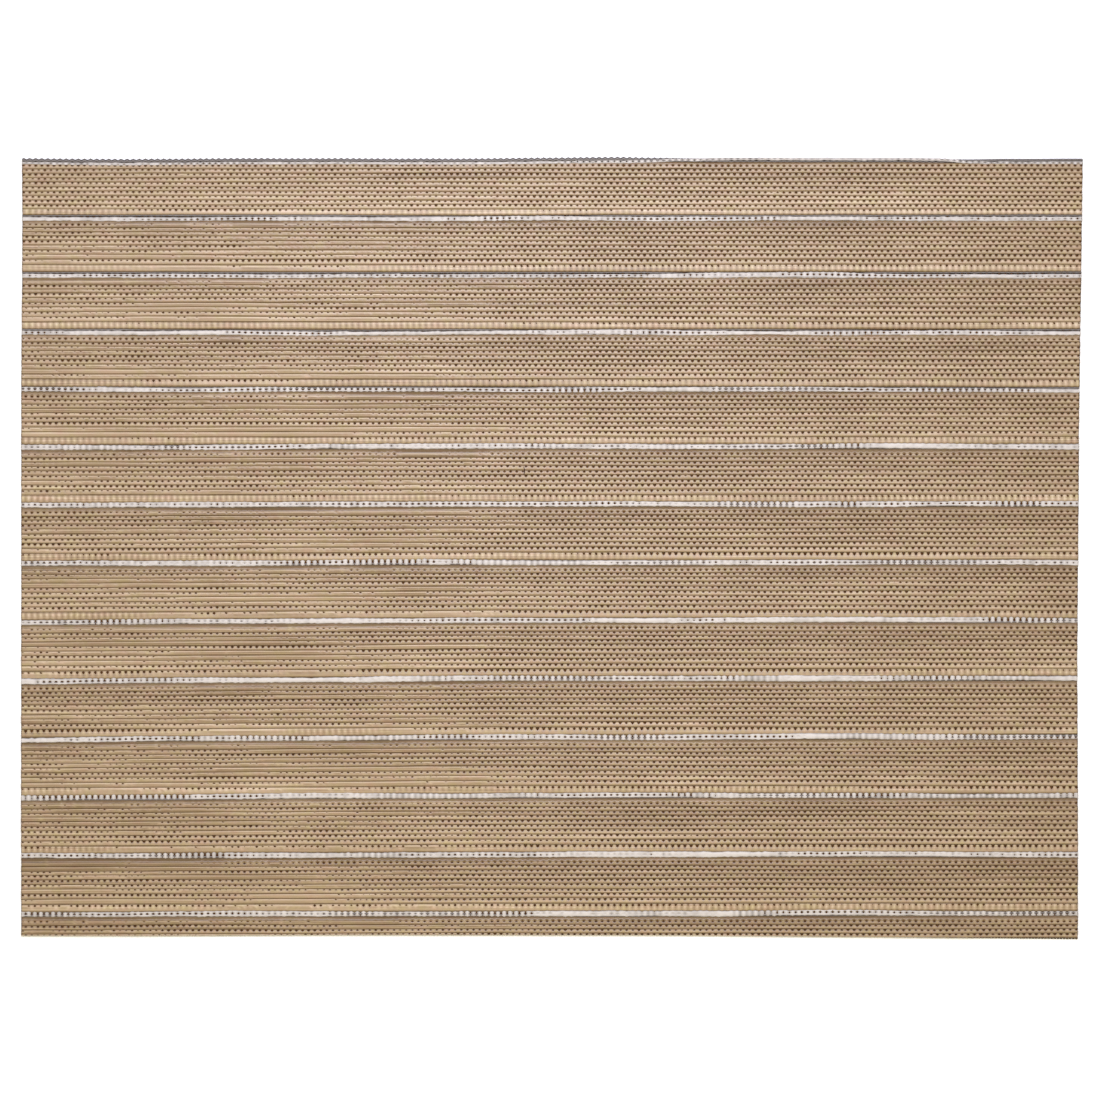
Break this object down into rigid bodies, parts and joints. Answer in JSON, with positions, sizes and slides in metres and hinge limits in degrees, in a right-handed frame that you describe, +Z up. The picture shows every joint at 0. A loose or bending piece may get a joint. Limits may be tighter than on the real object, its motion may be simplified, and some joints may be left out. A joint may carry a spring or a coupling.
{
  "type": "placemat",
  "caption": "Flat woven placemat, a rectangular cut sheet of coated yarn with low ribs where the striped weft runs, laid on a table under a plate.",
  "frame": {"origin": "middle of the outline's box on the underside, where the mat rests on the table", "axes": "+X along the weft and the stripes, the long way of the mat; +Y across the stripes to the far (upper) edge; +Z up out of the upper face"},
  "size_m": [0.4514, 0.3324, 0.0015],
  "materials": {
    "coated_yarn": "plain weave of tan plastic-coated yarn with narrow white and grey weft stripes, half matt"
  },
  "bodies": {
    "root": {"placemat_cloth": "coated_yarn"}
  },
  "joints": []
}
